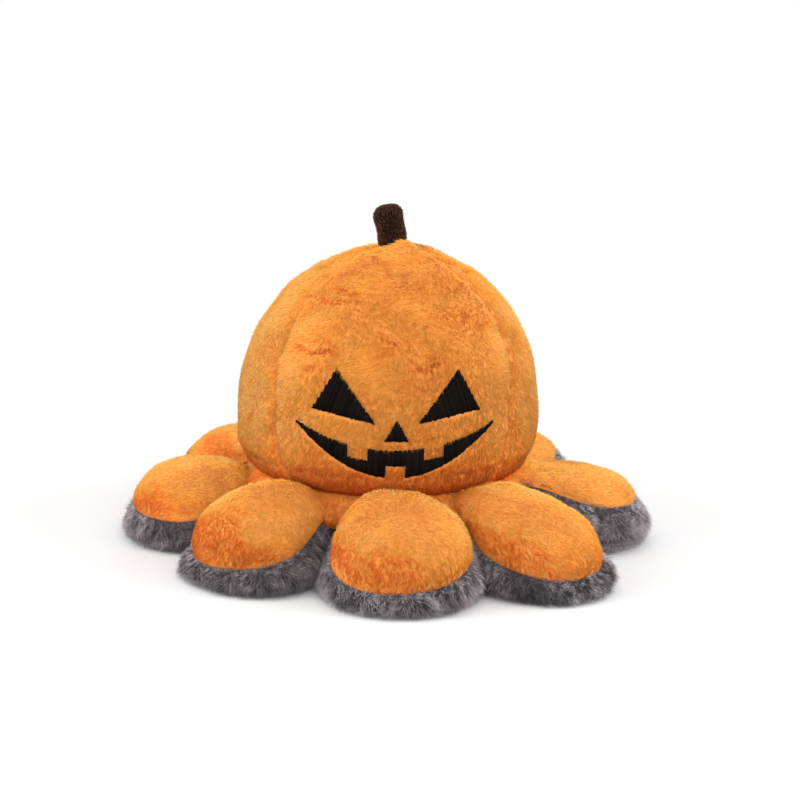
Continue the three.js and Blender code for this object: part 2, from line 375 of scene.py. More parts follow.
def make_finishes():
    return {
        "orange_cloth": Finish(orange_cloth(), "orange_plush"),
        "orange_pile": Finish(orange_pile(), "orange_plush"),
        "grey_cloth": Finish(grey_cloth(), "grey_fur"),
        "grey_fur": Finish(grey_fur(), "grey_fur"),
        "brown_pile": Finish(brown_pile(), "brown_pile"),
        "black_thread": Finish(black_thread(), "black_thread"),
        "white_fibre": Finish(white_fibre(), "white_fibre"),
    }


# Meshes from arrays

def add_object(name, points, corners, sizes, material):
    """A smooth mesh from its points, its faces' corners one after another, and each face's size."""
    mesh = bpy.data.meshes.new(name)
    mesh.vertices.add(len(points))
    mesh.vertices.foreach_set("co", np.asarray(points, np.float32).ravel())
    mesh.loops.add(len(corners))
    mesh.loops.foreach_set("vertex_index", np.asarray(corners, np.int32))
    mesh.polygons.add(len(sizes))
    starts = np.concatenate([[0], np.cumsum(sizes)[:-1]])
    mesh.polygons.foreach_set("loop_start", starts.astype(np.int32))
    mesh.update(calc_edges=True)
    mesh.shade_smooth()
    if material:
        mesh.materials.append(material)
    made = bpy.data.objects.new(name, mesh)
    bpy.context.scene.collection.objects.link(made)
    return made


def add_attribute(made, name, values):
    attribute = made.data.attributes.new(name, "FLOAT", "POINT")
    attribute.data.foreach_set("value", np.asarray(values, np.float32))


def unit(vectors):
    length = np.linalg.norm(vectors, axis=-1, keepdims=True)
    return vectors / np.maximum(length, 1e-12)


def swell(points, size, seed, waves=9):
    """Smooth random heights, mostly from -1 to 1, with humps about `size` across."""
    rng = np.random.default_rng(seed)
    ways = unit(rng.normal(size=(waves, 3))) * rng.uniform(0.7, 1.4, (waves, 1)) * (math.pi / size)
    turns = points @ ways.T + rng.uniform(0, 2 * math.pi, waves)
    return np.sin(turns).sum(axis=-1) / math.sqrt(waves)


def smooth_step(values, start, end):
    share = np.clip((values - start) / (end - start), 0, 1)
    return share * share * (3 - 2 * share)


def along_cloth(ways, normals):
    """The unit directions along the cloth nearest to the given ones."""
    return unit(ways - normals * (ways * normals).sum(axis=1, keepdims=True))


def swirled(ways, normals, angles):
    """The ways along the cloth, each turned on it by its angle."""
    ways = along_cloth(ways, normals)
    angles = np.reshape(angles, (-1, 1))
    return ways * np.cos(angles) + np.cross(normals, ways) * np.sin(angles)


def net_faces(rows, columns, closed):
    """The four-sided faces of a net of points. In a closed one the last column meets the first."""
    spot = np.arange(rows * columns).reshape(rows, columns)
    if closed:
        spot = np.concatenate([spot, spot[:, :1]], axis=1)
    corners = [spot[:-1, :-1], spot[:-1, 1:], spot[1:, 1:], spot[1:, :-1]]
    return np.stack(corners, axis=-1).reshape(-1, 4)


class Skin:
    """A cloth surface: a net of rows and columns of points, with normals on its outer side."""

    def __init__(self, net, closed=False):
        self.rows, self.columns = net.shape[:2]
        self.points = net.reshape(-1, 3)
        self.faces = net_faces(self.rows, self.columns, closed)
        self.normals = self.find_normals()

    def find_normals(self):
        a, b, c, d = (self.points[self.faces[:, i]] for i in range(4))
        across = np.cross(c - a, d - b)
        total = np.zeros_like(self.points)
        for i in range(4):
            for axis in range(3):
                total[:, axis] += np.bincount(self.faces[:, i], across[:, axis], len(self.points))
        return unit(total)

    def raise_by(self, heights):
        self.points = self.points + self.normals * np.reshape(heights, (-1, 1))
        self.normals = self.find_normals()
        return self

    def keep_faces(self, wanted):
        """Keeps the faces whose middles pass wanted(middles)."""
        self.faces = self.faces[wanted(self.points[self.faces].mean(axis=1))]
        return self

    def scatter(self, per_area, rng):
        """Random spots on the cloth, as places and normals."""
        a, b, c, d = (self.points[self.faces[:, i]] for i in range(4))
        area = np.linalg.norm(np.cross(c - a, d - b), axis=1) / 2
        face = np.repeat(np.arange(len(self.faces)), rng.poisson(area * per_area))
        u, v = rng.random((2, len(face), 1))
        shares = [(1 - u) * (1 - v), u * (1 - v), u * v, (1 - u) * v]
        chosen = self.faces[face]
        places = sum(share * self.points[chosen[:, i]] for i, share in enumerate(shares))
        normals = sum(share * self.normals[chosen[:, i]] for i, share in enumerate(shares))
        return places, unit(normals)

    def add(self, name, material):
        used, corners = np.unique(self.faces, return_inverse=True)
        sizes = np.full(len(self.faces), 4)
        return add_object(name, self.points[used], corners.ravel(), sizes, material)


# Simulated cloth

CLOTH_FRAMES = 20
CLOTH_PRESSURE = 12
CLOTH_MASS = 2e-5
MOST_PUFF = 2.5 * MM
MOST_SINK = 0.5 * MM
CALM_ROWS = 6  # next to a net's last point, where its faces are too narrow to settle well


def sewn_mesh(name, net):
    """A mesh of a net that is closed round and ends in a single point, its last row."""
    rows, columns = net.shape[:2]
    quads = net_faces(rows - 1, columns, closed=True)
    near = (rows - 2) * columns + np.arange(columns)
    end = np.full(columns, (rows - 1) * columns)
    last = np.stack([near, np.roll(near, -1), end], axis=-1)
    corners = np.concatenate([quads.ravel(), last.ravel()])
    sizes = np.concatenate([np.full(len(quads), 4), np.full(columns, 3)])
    return add_object(name, net.reshape(-1, 3), corners, sizes, None)


def outward(net):
    """The normals of a sewn net."""
    rows, columns = net.shape[:2]
    most = Skin(net[:-1], closed=True).normals.reshape(rows - 1, columns, 3)
    last = np.broadcast_to(unit(most[-1].mean(axis=0)), (1, columns, 3))
    return np.concatenate([most, last])


def settled(net, held, slack):
    """The points of a sewn net after its cloth, cut larger by `slack`, is filled with air."""
    made = sewn_mesh("cloth_trial", net)
    group = made.vertex_groups.new(name="held")
    group.add([int(i) for i in np.nonzero(held.ravel())[0]], 1.0, "REPLACE")
    cloth = made.modifiers.new("cloth", "CLOTH")
    cloth.point_cache.frame_end = CLOTH_FRAMES
    cloth.collision_settings.use_collision = False
    settings = cloth.settings
    settings.vertex_group_mass = "held"
    settings.mass = CLOTH_MASS
    settings.shrink_min = -slack
    settings.use_pressure = True
    settings.uniform_pressure_force = CLOTH_PRESSURE
    settings.effector_weights.gravity = 0
    for number in range(1, CLOTH_FRAMES + 1):
        bpy.context.scene.frame_set(number)
    filled = made.evaluated_get(bpy.context.evaluated_depsgraph_get())
    points = np.empty(net.size)
    filled.data.vertices.foreach_get("co", points)
    bpy.data.objects.remove(made)
    bpy.context.scene.frame_set(1)
    points = points.reshape(net.shape)
    points[-1] = points[-1, 0]
    return points


def puff(net, held, slack):
    """How far each point of a sewn net moves when it is filled, kept within MOST_SINK and MOST_PUFF."""
    moved = settled(net, held, slack) - net
    out = outward(net)
    rise = (moved * out).sum(axis=-1, keepdims=True)
    moved = moved - out * np.minimum(rise + MOST_SINK, 0)
    row = np.arange(len(net))[:, None, None]
    calm = smooth_step(row, len(net) - CALM_ROWS, len(net) - CALM_ROWS + 2)
    moved = moved * (1 - calm) + moved[-CALM_ROWS].mean(axis=0) * calm
    length = np.linalg.norm(moved, axis=-1, keepdims=True)
    return moved * np.minimum(1, MOST_PUFF / np.maximum(length, 1e-9))


def between(values, row, column):
    """Values of a net that is closed round, at fractional rows and columns."""
    low = np.clip(np.floor(row).astype(int), 0, values.shape[0] - 2)
    left = np.floor(column).astype(int)
    down = (row - low)[..., None]
    across = (column - left)[..., None]
    near, far = left % values.shape[1], (left + 1) % values.shape[1]
    first = values[low, near] * (1 - across) + values[low, far] * across
    second = values[low + 1, near] * (1 - across) + values[low + 1, far] * across
    return first * (1 - down) + second * down


# Pile and fur

@dataclass
class Pile:
    """How one kind of pile grows."""
    length: float
    width: float
    per_area: float
    segments: int
    upright: float  # degrees from the normal at its root
    lean: float  # and at its tip
    stray: float  # radians off the combed way
    tuft_stray: float  # and of whole clumps
    clump: float
    tall: float  # height of a clump, as a share of its width
    pull: float  # of each tip towards its clump's middle
    uneven: float  # share by which lengths differ
    sink: float = 0.4 * MM


HEAD_PILE = Pile(2.8 * MM, 0.33 * MM, 4.2e6, 1, 50, 74, 0.20, 0.15, 1.1 * MM, 1.6, 0.40, 0.2)
LEG_PILE = Pile(2.8 * MM, 0.33 * MM, 4.4e6, 1, 54, 78, 0.20, 0.20, 1.2 * MM, 0.8, 0.32, 0.2)
GREY_FRINGE = Pile(8.0 * MM, 0.30 * MM, 7.0e6, 2, 24, 70, 0.50, 0.45, 1.8 * MM, 1.0, 0.42, 0.32)
GREY_FLAT = Pile(6.0 * MM, 0.45 * MM, 1.4e6, 2, 70, 86, 0.4, 0.5, 4.0 * MM, 1.0, 0.4, 0.25)
BROWN_PILE = Pile(1.2 * MM, 0.34 * MM, 12e6, 1, 20, 50, 0.6, 0.5, 1.0 * MM, 1.0, 0.35, 0.25)

SIDES = 3  # of a strand
TAPER = 0.6  # share of its width that it loses on its way to its last ring
WOBBLE = 7  # degrees by which leans differ
CURL = 0.5  # radians by which strands turn aside
CLUMP_WARP = 0.6  # how unevenly clumps are cut, as a share of their width
MOST_CELLS = 4001  # more clumps than lie side by side anywhere


def ring(middles, across, up, radius, sides):
    """For each corner of a small ring, its points beside all the middles."""
    turns = [2 * math.pi * i / sides for i in range(sides)]
    return [middles + radius * (math.cos(turn) * across + math.sin(turn) * up) for turn in turns]


def tube_faces(rings, sides):
    """The faces between rings of points."""
    faces = []
    for first in range(0, sides * (rings - 1), sides):
        for i in range(sides):
            a, b = first + i, first + (i + 1) % sides
            faces.append((a, b, b + sides, a + sides))
    return faces


def strand_faces(segments):
    """One strand's closed root, its sides and its tip."""
    last = SIDES * (segments - 1)
    tip = [(last + i, last + (i + 1) % SIDES, SIDES * segments) for i in range(SIDES)]
    return [(0, 2, 1), *tube_faces(segments, SIDES), *tip]


def repeated(faces, copies, points):
    """The corners and sizes of the faces of many copies of a small mesh with so many points."""
    pattern = np.concatenate([np.array(face) for face in faces])
    corners = pattern[None] + points * np.arange(copies)[:, None]
    return corners.ravel(), np.tile([len(face) for face in faces], copies)


def clump_numbers(roots, pile, seed):
    """A number for each root's clump, which neighbours share."""
    size = pile.clump
    warp = np.stack([swell(roots, 3 * size, seed + i) for i in range(3)], axis=1) * size * CLUMP_WARP
    cell = np.floor((roots + warp) / (size * np.array([1, 1, pile.tall]))).astype(np.int64)
    key = (cell[:, 0] * MOST_CELLS + cell[:, 1]) * MOST_CELLS + cell[:, 2]
    return np.unique(key, return_inverse=True)[1].ravel()


def mean_by(group, values):
    count = np.maximum(np.bincount(group), 1)
    return np.stack([np.bincount(group, values[:, i]) / count for i in range(3)], axis=1)


def strand_lines(roots, normals, ways, length, pile, clumps, rng):
    """The middle line of each strand, as strands x points x 3."""
    steps = pile.segments
    wobble = rng.normal(0, WOBBLE, len(roots))
    curl = rng.normal(0, CURL, len(roots))
    lines = [roots - normals * pile.sink]
    for step in range(steps):
        share = (step + 0.5) / steps
        angle = np.radians(pile.upright + (pile.lean - pile.upright) * share + wobble)[:, None]
        bent = swirled(ways, normals, curl * (step - (steps - 1) / 2))
        move = normals * np.cos(angle) + bent * np.sin(angle)
        lines.append(lines[-1] + move * (length / steps)[:, None])
    lines = np.stack(lines, axis=1)
    share = (np.arange(steps + 1) / steps)[None, :, None]
    pulled = mean_by(clumps, lines[:, -1])[clumps] - lines[:, -1]
    lines = lines + pulled[:, None, :] * pile.pull * share ** 1.5
    lines[:, :, 2] = np.maximum(lines[:, :, 2], FLOOR_GAP + pile.width / 2)
    return lines


def strand_points(lines, sides, pile):
    """Rings of three points along each line, and one point at its tip."""
    steps = pile.segments
    points = []
    for step in range(steps):
        forward = unit(lines[:, step + 1] - lines[:, step])
        across = unit(sides - forward * (sides * forward).sum(axis=1, keepdims=True))
        up = np.cross(forward, across)
        radius = pile.width / 2 * (1 - TAPER * step / steps)
        points += ring(lines[:, step], across, up, radius, SIDES)
    points.append(lines[:, steps])
    return np.stack(points, axis=1)


def strand_shares(segments):
    """How far up its strand each point is, from 0 at the root to 1 at the tip."""
    return np.append(np.repeat(np.arange(segments) / segments, SIDES), 1)


def strand_map(segments, clumps):
    """A flat map in which each clump has a small cell of its own, with roots low and tips high."""
    cells = math.ceil(math.sqrt(clumps.max() + 1))
    across = np.array([0.1, 0.5, 0.9] * segments + [0.5])
    along = strand_shares(segments)
    along[:-1] += np.tile([0, 0.06, 0], segments)
    corner = np.stack([clumps % cells, clumps // cells], axis=1)[:, None, :]
    inside = np.stack([across, 0.08 + 0.84 * along], axis=1)[None]
    return (corner + inside) / cells


def add_strands(name, points, clumps, segments, material):
    """A mesh of strands, with how far up each point is, and a flat map to bake on."""
    count, each = points.shape[:2]
    corners, sizes = repeated(strand_faces(segments), count, each)
    made = add_object(name, points.reshape(-1, 3), corners, sizes, material)
    add_attribute(made, "along", np.tile(strand_shares(segments), count))
    spots = strand_map(segments, clumps).reshape(-1, 2)
    layer = made.data.uv_layers.new(name="OFBake")
    layer.data.foreach_set("uv", spots[corners].astype(np.float32).ravel())
    return made


def grow(name, skin, pile, material, comb, seed, keep=None, tint=None, scale=None):
    """Grows a pile on a skin. comb, keep, tint and scale are functions of the roots and their normals."""
    rng = np.random.default_rng(seed)
    roots, normals = skin.scatter(pile.per_area, rng)
    if keep:
        kept = keep(roots, normals)
        roots, normals = roots[kept], normals[kept]
    clumps = clump_numbers(roots, pile, seed)
    stray = rng.normal(0, pile.stray, len(roots))
    stray = stray + rng.normal(0, pile.tuft_stray, clumps.max() + 1)[clumps]
    ways = swirled(comb(roots, normals), normals, stray)
    sides = np.cross(normals, ways)
    length = pile.length * rng.uniform(1 - pile.uneven, 1 + pile.uneven, len(roots))
    if scale:
        length = length * scale(roots, normals)
    lines = strand_lines(roots, normals, ways, length, pile, clumps, rng)
    points = strand_points(lines, sides, pile)
    made = add_strands(name, points, clumps, pile.segments, material)
    own = 0.5 * rng.random(len(roots)) + 0.5 * rng.random(clumps.max() + 1)[clumps]
    shade = tint(roots, normals) if tint else np.zeros(len(roots))
    for kind, values in (("own", own), ("tint", np.clip(shade, 0, 1))):
        add_attribute(made, kind, np.repeat(values, points.shape[1]))
    return made


def add_cloth(name, skin, finish, carry, node):
    """A padded cloth piece in place of a solid of the frame, which it hides. carry(piece) sets what moves
    it.
    """
    made = skin.add(name, finish.material)
    carry(made)
    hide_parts(node)


def add_pile(name, skin, pile, finish, carry, comb, seed, **limits):
    """A pile on a skin, which moves with it."""
    made = grow(name, skin, pile, finish.material, comb, seed, **limits)
    carry(made)


def riding(body):
    return lambda made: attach(made, body)


def constant_way(way):
    return lambda roots, normals: np.broadcast_to(np.array(way, float), roots.shape)


# Head

def head_radius(height):
    """The head's radius at a height."""
    above = np.clip((height - HEAD_WIDEST) / (HEAD_TOP - HEAD_WIDEST), 0, 1)
    below = np.clip((HEAD_WIDEST - height) / HEAD_DROP, 0, 1)
    upper = np.sqrt(1 - above ** 2)
    lower = (1 - below ** HEAD_DROP_POWER) ** (1 / HEAD_DROP_POWER)
    return HEAD_RADIUS * np.where(height > HEAD_WIDEST, upper, lower)


def evenly(profile, count):
    """`count` points evenly along a line of [radius, height] points."""
    profile = np.array(profile)
    steps = np.linalg.norm(np.diff(profile, axis=0), axis=1)
    travelled = np.concatenate([[0], np.cumsum(steps)])
    wanted = np.linspace(0, travelled[-1], count)
    return np.stack([np.interp(wanted, travelled, profile[:, i]) for i in range(2)], axis=1)


def around(radius, angles, height):
    """Points round the Z axis."""
    return np.stack([radius * np.cos(angles), radius * np.sin(angles), height + 0 * angles], axis=-1)


def revolved(profile, angles):
    """A net of rows up a profile of [radius, height] and columns round the Z axis."""
    return around(profile[:, :1], np.atleast_2d(angles), profile[:, 1:])


def head_profile(inset=0.0, top=0.99996):
    heights = HEAD_WIDEST + (HEAD_FOOT - HEAD_WIDEST) * np.linspace(1, 0, 40)
    lower = [(head_radius(h) - inset, h) for h in heights]
    angles = np.linspace(0, math.asin(top), 90)[1:]
    tall = HEAD_TOP - HEAD_WIDEST - inset
    upper = [((HEAD_RADIUS - inset) * math.cos(a), HEAD_WIDEST + tall * math.sin(a)) for a in angles]
    tucked = [(SKIRT_INNER, HEAD_FOOT - 1.5 * MM)]
    return tucked + lower + upper


def seam_angles():
    """The cloth angles of the head's four seams: the front gore's left and right, then the back's."""
    half = math.radians(FRONT_GORE_ANGLE / 2)
    front = -math.pi / 2
    return [front - half, front + half, -front - half, -front + half]


def wrapped(angles):
    """The same angles, from -pi to pi."""
    return np.angle(np.exp(1j * angles))


def closing_in(cloth, heights):
    """How far the head's cloth at angles from its front turns, as the front seams close in downwards."""
    half = math.radians(FRONT_GORE_ANGLE / 2)
    inward = math.radians(SEAMS_IN) * smooth_step(heights, 88 * MM, 58 * MM)
    inward = inward + math.radians(SEAMS_IN_AT_FOOT) * smooth_step(heights, 58 * MM, HEAD_FOOT)
    share = np.interp(np.abs(cloth), [0, half, math.pi - half], [0, 1, 0])
    return -np.sign(cloth) * inward * share


def turned_in(angles, heights):
    """Where cloth angles lie on the head."""
    cloth = wrapped(angles + math.pi / 2)
    return cloth + closing_in(cloth, heights) - math.pi / 2


def cloth_angle(points):
    """The reverse of turned_in(), for points on the head."""
    place = wrapped(np.arctan2(points[..., 1], points[..., 0]) + math.pi / 2)
    cloth = place
    for _ in range(4):
        cloth = place - closing_in(cloth, points[..., 2])
    return cloth - math.pi / 2


def seam_distance(points):
    """How far each point is from the nearest of the head's four seams, round the head."""
    angle = cloth_angle(points)
    radius = np.hypot(points[..., 0], points[..., 1])
    off = [np.abs(wrapped(angle - seam)) for seam in seam_angles()]
    nearest = np.min(off, axis=0)
    return radius * np.sin(np.minimum(nearest, math.pi / 2))


HEAD_ROWS = 44
HELD_ROWS = 6  # at the head's foot, which the skirt holds
GORE_COLUMNS = 30


def head_columns():
    """Angles round the head, evenly between each two seams, which are among them."""
    ends = sorted(angle % (2 * math.pi) for angle in seam_angles())
    ends.append(ends[0] + 2 * math.pi)
    spans = [np.linspace(a, b, GORE_COLUMNS, endpoint=False) for a, b in zip(ends, ends[1:])]
    return np.concatenate(spans)


@lru_cache
def head_swelling():
    """The angles round and the slants up of a net on the head, and how far its points puff out."""
    angles = head_columns()
    profile = evenly(head_profile(top=1), HEAD_ROWS)
    net = revolved(profile, turned_in(angles[None], profile[:, 1:]))
    held = np.zeros(net.shape[:2], bool)
    held[:HELD_ROWS] = True
    held[:, ::GORE_COLUMNS] = True
    moved = puff(net, held, 0.015)
    rise = (moved * outward(net)).sum(axis=-1, keepdims=True)
    return angles, slant_up(profile[:, 0], profile[:, 1]), rise


def slant_up(radius, height):
    return np.arctan2(height - HEAD_WIDEST, radius)


def head_puff(points):
    """How far the simulated cloth of the head stands out at points on it."""
    angles, slants, swelling = head_swelling()
    slant = slant_up(np.hypot(points[..., 0], points[..., 1]), points[..., 2])
    row = np.interp(slant, slants, np.arange(len(slants)))
    angle = (cloth_angle(points) - angles[0]) % (2 * math.pi) + angles[0]
    ends = np.append(angles, angles[0] + 2 * math.pi)
    column = np.interp(angle, ends, np.arange(len(ends)))
    return between(swelling, row, column)[..., 0]


def bell(values, width):
    """1 where the values are 0, falling away over `width`."""
    return np.exp(-(values / width) ** 2)


def head_relief(points):
    """Lumps of stuffing, a fuller crown, seams drawn in, and small puckers beside them."""
    beside = seam_distance(points)
    height = points[:, 2]
    lumps = 0.4 * MM * swell(points, 34 * MM, 11) + 0.25 * MM * swell(points, 11 * MM, 12)
    crown = 1.0 * MM * smooth_step(height, 62 * MM, 82 * MM)
    crown = crown * (1 - 0.45 * smooth_step(height, 96 * MM, 114 * MM))
    tuft = TUFT_RISE * bell(np.linalg.norm(points - np.array(TUFT_PLACE), axis=1), TUFT_WIDTH)
    drawn = 1 - 0.95 * smooth_step(height, 86 * MM, 102 * MM)
    groove = SEAM_DEPTH * bell(beside, SEAM_WIDTH) + 0.8 * MM * bell(beside, 5 * MM)
    pucker = 0.4 * MM * swell(points, 3.4 * MM, 13) * bell(beside, 4 * MM)
    relief = lumps + crown + tuft - groove * drawn + pucker + 0.1 * MM
    return relief * smooth_step(height, HEAD_FOOT, HEAD_FOOT + 8 * MM) + head_puff(points)


def lean(points):
    """How far the head's lean moves points to the right. Taken off, it gives back the upright head."""
    return (points[..., 2:] - HEAD_WIDEST) * np.array([HEAD_LEAN, 0, 0])


def gore_skin(start, end):
    """The cloth of one gore between two seams, in radians."""
    angles = np.linspace(start, end, 1 + round(abs(end - start) * HEAD_RADIUS / (0.9 * MM)))
    profile = evenly(head_profile(), 150)
    skin = Skin(revolved(profile, turned_in(angles[None], profile[:, 1:])))
    skin.raise_by(head_relief(skin.points))
    skin.points = skin.points + lean(skin.points)
    return skin


# Places on the forehead where the pile is brushed open: across, up, half width and half height
PARTED = [
    (-31 * MM, 88 * MM, 9.6 * MM, 4.0 * MM),
    (-32 * MM, 79 * MM, 6.0 * MM, 3.0 * MM),
    (0 * MM, 91 * MM, 9.6 * MM, 2.2 * MM),
    (11 * MM, 84 * MM, 9.6 * MM, 3.5 * MM),
    (-23 * MM, 107 * MM, 12.0 * MM, 3.5 * MM),
    (16 * MM, 99 * MM, 8.4 * MM, 2.2 * MM),
]
PARTING_SPACE = 3.8 * MM
PARTING_WIDTH = 0.75 * MM
PARTING_REACH = (0, 0.7 * MM, 1.4 * MM, 2.1 * MM)  # places along a fibre that show one


def parted(points):
    """How open the pile is at each point, from 0 to 1: along wavy lines in a few places."""
    wave = points[:, 2] + 1.3 * MM * swell(points, 5 * MM, 23) + 0.12 * points[:, 0]
    off = (wave + PARTING_SPACE / 2) % PARTING_SPACE - PARTING_SPACE / 2
    place = np.zeros(len(points))
    for x, z, wide, tall in PARTED:
        far = ((points[:, 0] - x) / wide) ** 2 + ((points[:, 2] - z) / tall) ** 2
        place = np.maximum(place, bell(far, 1) * (points[:, 1] < 0))
    return place * bell(off, PARTING_WIDTH)


def head_comb(roots, normals):
    """Combed down, but brushed about over the forehead and the crown."""
    loose = smooth_step(roots[:, 2], 60 * MM, 90 * MM)
    down = np.array([-0.35, 0, -1.0]) + 0 * roots
    angles = (0.15 + 0.8 * loose) * swell(roots, 16 * MM, 21) + 0.3 * loose * swell(roots, 5 * MM, 22)
    return swirled(down, normals, angles)


def head_tint(roots, normals):
    """Redder where the pile is brushed open; redder and darker low down, as painted shade; golden at the
    sides that face left and right, as a painted highlight.
    """
    height = roots[:, 2]
    beside = seam_distance(roots - lean(roots))
    # Painted highlight: golden where the head's sides face left and right
    sides = smooth_step(np.abs(normals[:, 0]), 0.42, 0.78)
    forehead = bell(height - 96 * MM, 15 * MM)
    patches = smooth_step(swell(roots, 14 * MM, 31) + 0.3 * swell(roots, 4 * MM, 32), 0.3, 1.4)
    # Painted shade: redder and darker low on the head
    low = smooth_step(height, 58 * MM, 34 * MM)
    drawn = bell(beside, 1.1 * MM) * smooth_step(height, 102 * MM, 86 * MM)
    red = 0.3 * patches * forehead + 0.5 * low + 0.4 * drawn
    plain = PLAIN_TINT * (1 - sides) + 0.08 * swell(roots, 9 * MM, 33)
    way = along_cloth(head_comb(roots, normals), normals)
    under = [parted(roots + way * reach) for reach in PARTING_REACH]
    open_pile = np.maximum(np.max(under, axis=0), 0.93 * drawn)
    return np.maximum(np.minimum(plain + red, RED_TINT), open_pile)


def head_pile_scale(roots, normals):
    """Shorter pile beside the seams and where it is brushed open."""
    beside = np.clip(seam_distance(roots - lean(roots)) / (2.5 * MM), 0, 1)
    return (0.35 + 0.65 * beside) * (1 - 0.3 * parted(roots))


def add_head(finishes):
    front_left, front_right, back_right, back_left = seam_angles()
    gores = {
        "right_gore": (front_right, back_right),
        "back_gore": (back_right, back_left),
        "left_gore": (back_left, front_left + 2 * math.pi),
        "front_gore": (front_left, front_right),
    }
    for number, (name, seams) in enumerate(gores.items()):
        skin = gore_skin(*seams)
        add_cloth(name, skin, finishes["orange_cloth"], riding("head"), f"head_{name}")
        add_pile(
            f"{name}_pile", skin, HEAD_PILE, finishes["orange_pile"], riding("head"), head_comb,
            100 + number, keep=outside_stitches, tint=head_tint, scale=head_pile_scale,
        )


# Face

def lip_height(x, sag):
    return MOUTH_CORNER - sag * (1 - (x / MOUTH_HALF) ** 2)


def lip(sag, teeth, tooth_rise):
    half = TOOTH_WIDTH / 2
    points = []
    for x in np.linspace(-MOUTH_HALF, MOUTH_HALF, 33):
        if all(abs(x - place) > half for place in teeth):
            points.append((x, lip_height(x, sag)))
    for place in teeth:
        left, right = place - half, place + half
        points += [(left, lip_height(left, sag)), (left, lip_height(left, sag) + tooth_rise)]
        points += [(right, lip_height(right, sag) + tooth_rise), (right, lip_height(right, sag))]
    return sorted(points, key=lambda point: point[0])


def eye_outline(side):
    return [
        (side * EYE_INNER, EYE_LOW),
        (side * (EYE_INNER + EYE_WIDTH), EYE_LOW + EYE_SLANT),
        (side * (EYE_INNER + EYE_WIDTH * EYE_PEAK), EYE_LOW + EYE_TALL),
    ]


def face_outlines():
    nose = [(-NOSE_HALF, NOSE_LOW), (NOSE_HALF, NOSE_LOW), (0, NOSE_LOW + NOSE_TALL)]
    lower = lip(MOUTH_LOWER_SAG, LOWER_TEETH, TOOTH_TALL)
    upper = lip(MOUTH_UPPER_SAG, UPPER_TEETH, -TOOTH_TALL)
    mouth = lower + upper[1:-1][::-1]
    return {"left_eye": eye_outline(-1), "right_eye": eye_outline(1), "nose": nose, "mouth": mouth}


def edges(outline):
    """Each corner of an outline with the next one."""
    return zip(outline, outline[1:] + outline[:1])


def inside(outline, x, z):
    """Which flat points lie inside an outline."""
    found = np.zeros(len(x), bool)
    for (x0, z0), (x1, z1) in edges(outline):
        if x0 == x1:
            continue
        spans = (x0 > x) != (x1 > x)
        found ^= spans & (z < z0 + (z1 - z0) * (x - x0) / (x1 - x0))
    return found


def outside_stitches(roots, normals):
    """Which fibres neither grow nor lie over the face's stitches."""
    ends = roots + along_cloth(head_comb(roots, normals), normals) * 1.0 * MM
    covered = np.zeros(len(roots), bool)
    for outline in face_outlines().values():
        for spots in (roots, ends):
            covered |= inside(outline, spots[:, 0], spots[:, 2])
    return ~(covered & (roots[:, 1] < 0))


def on_head(x, z, out):
    """Points on the front of the head at flat places, moved out from its cloth."""
    def at(radius):
        return np.stack([x, -np.sqrt(np.maximum(radius ** 2 - x ** 2, 0)), z], axis=-1)
    bare = head_radius(z)
    points = at(bare + head_relief(at(bare)) + out)
    return points + lean(points)


THREAD_PITCH = 0.5 * MM
THREAD_WIDTH = 0.72 * MM
STITCH_RISE = 1.3 * MM
THREAD_STEPS = 9
THREAD_SIDES = 6
EYE_STITCH_SLANT = 0.35  # radians, the other way in the right eye


def crossings(outline, x):
    """The heights at which an upright line at x crosses an outline, lowest first."""
    found = []
    for (x0, z0), (x1, z1) in edges(outline):
        if (x0 > x) != (x1 > x):
            found.append(z0 + (z1 - z0) * (x - x0) / (x1 - x0))
    return sorted(found)


def turned_outline(outline, angle):
    turn = complex(math.cos(angle), math.sin(angle))
    spots = [complex(x, z) * turn for x, z in outline]
    return [(spot.real, spot.imag) for spot in spots]


def stitch_lines(outline, slant, rng):
    """The middle lines of satin stitches that fill an outline, leaning by `slant` radians."""
    back = complex(math.cos(slant), -math.sin(slant))
    leaned = turned_outline(outline, slant)
    low = min(x for x, _ in leaned)
    high = max(x for x, _ in leaned)
    share = np.linspace(0, 1, THREAD_STEPS)
    lines = []
    for x in np.arange(low + THREAD_PITCH / 2, high, THREAD_PITCH):
        ends = crossings(leaned, x)
        for start, end in zip(ends[::2], ends[1::2]):
            start, end = np.array([start, end]) + rng.normal(0, 0.15 * MM, 2)
            flat = (x + 1j * (start + (end - start) * share)) * back
            rise = STITCH_RISE * (1 - np.abs(2 * share - 1) ** 4) + rng.normal(0, 0.06 * MM)
            lines.append(on_head(flat.real, flat.imag, rise))
    return np.array(lines)


def add_stitches(name, outline, slant, seed, material):
    rng = np.random.default_rng(seed)
    lines = stitch_lines(outline, slant, rng)
    count, steps = lines.shape[:2]
    each = THREAD_SIDES * steps
    forward = unit(np.gradient(lines, axis=1))
    across = unit(np.cross(forward, unit(lines * np.array([1, 1, 0.3]))))
    rings = ring(lines, across, np.cross(across, forward), THREAD_WIDTH / 2, THREAD_SIDES)
    sides = [(b, a, d, c) for a, b, c, d in tube_faces(steps, THREAD_SIDES)]
    caps = [range(THREAD_SIDES), range(each - 1, each - THREAD_SIDES - 1, -1)]
    corners, sizes = repeated(sides + caps, count, each)
    made = add_object(name, np.stack(rings, axis=2).reshape(-1, 3), corners, sizes, material)
    add_attribute(made, "own", np.repeat(rng.random(count), each))
    return made


def add_face(finish):
    slants = {
        "left_eye": EYE_STITCH_SLANT,
        "right_eye": -EYE_STITCH_SLANT,
        "nose": 0,
        "mouth": 0,
    }
    for number, (name, outline) in enumerate(face_outlines().items()):
        made = add_stitches(f"{name}_stitches", outline, slants[name], 200 + number, finish.material)
        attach(made, "head")
        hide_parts(name)


# Legs

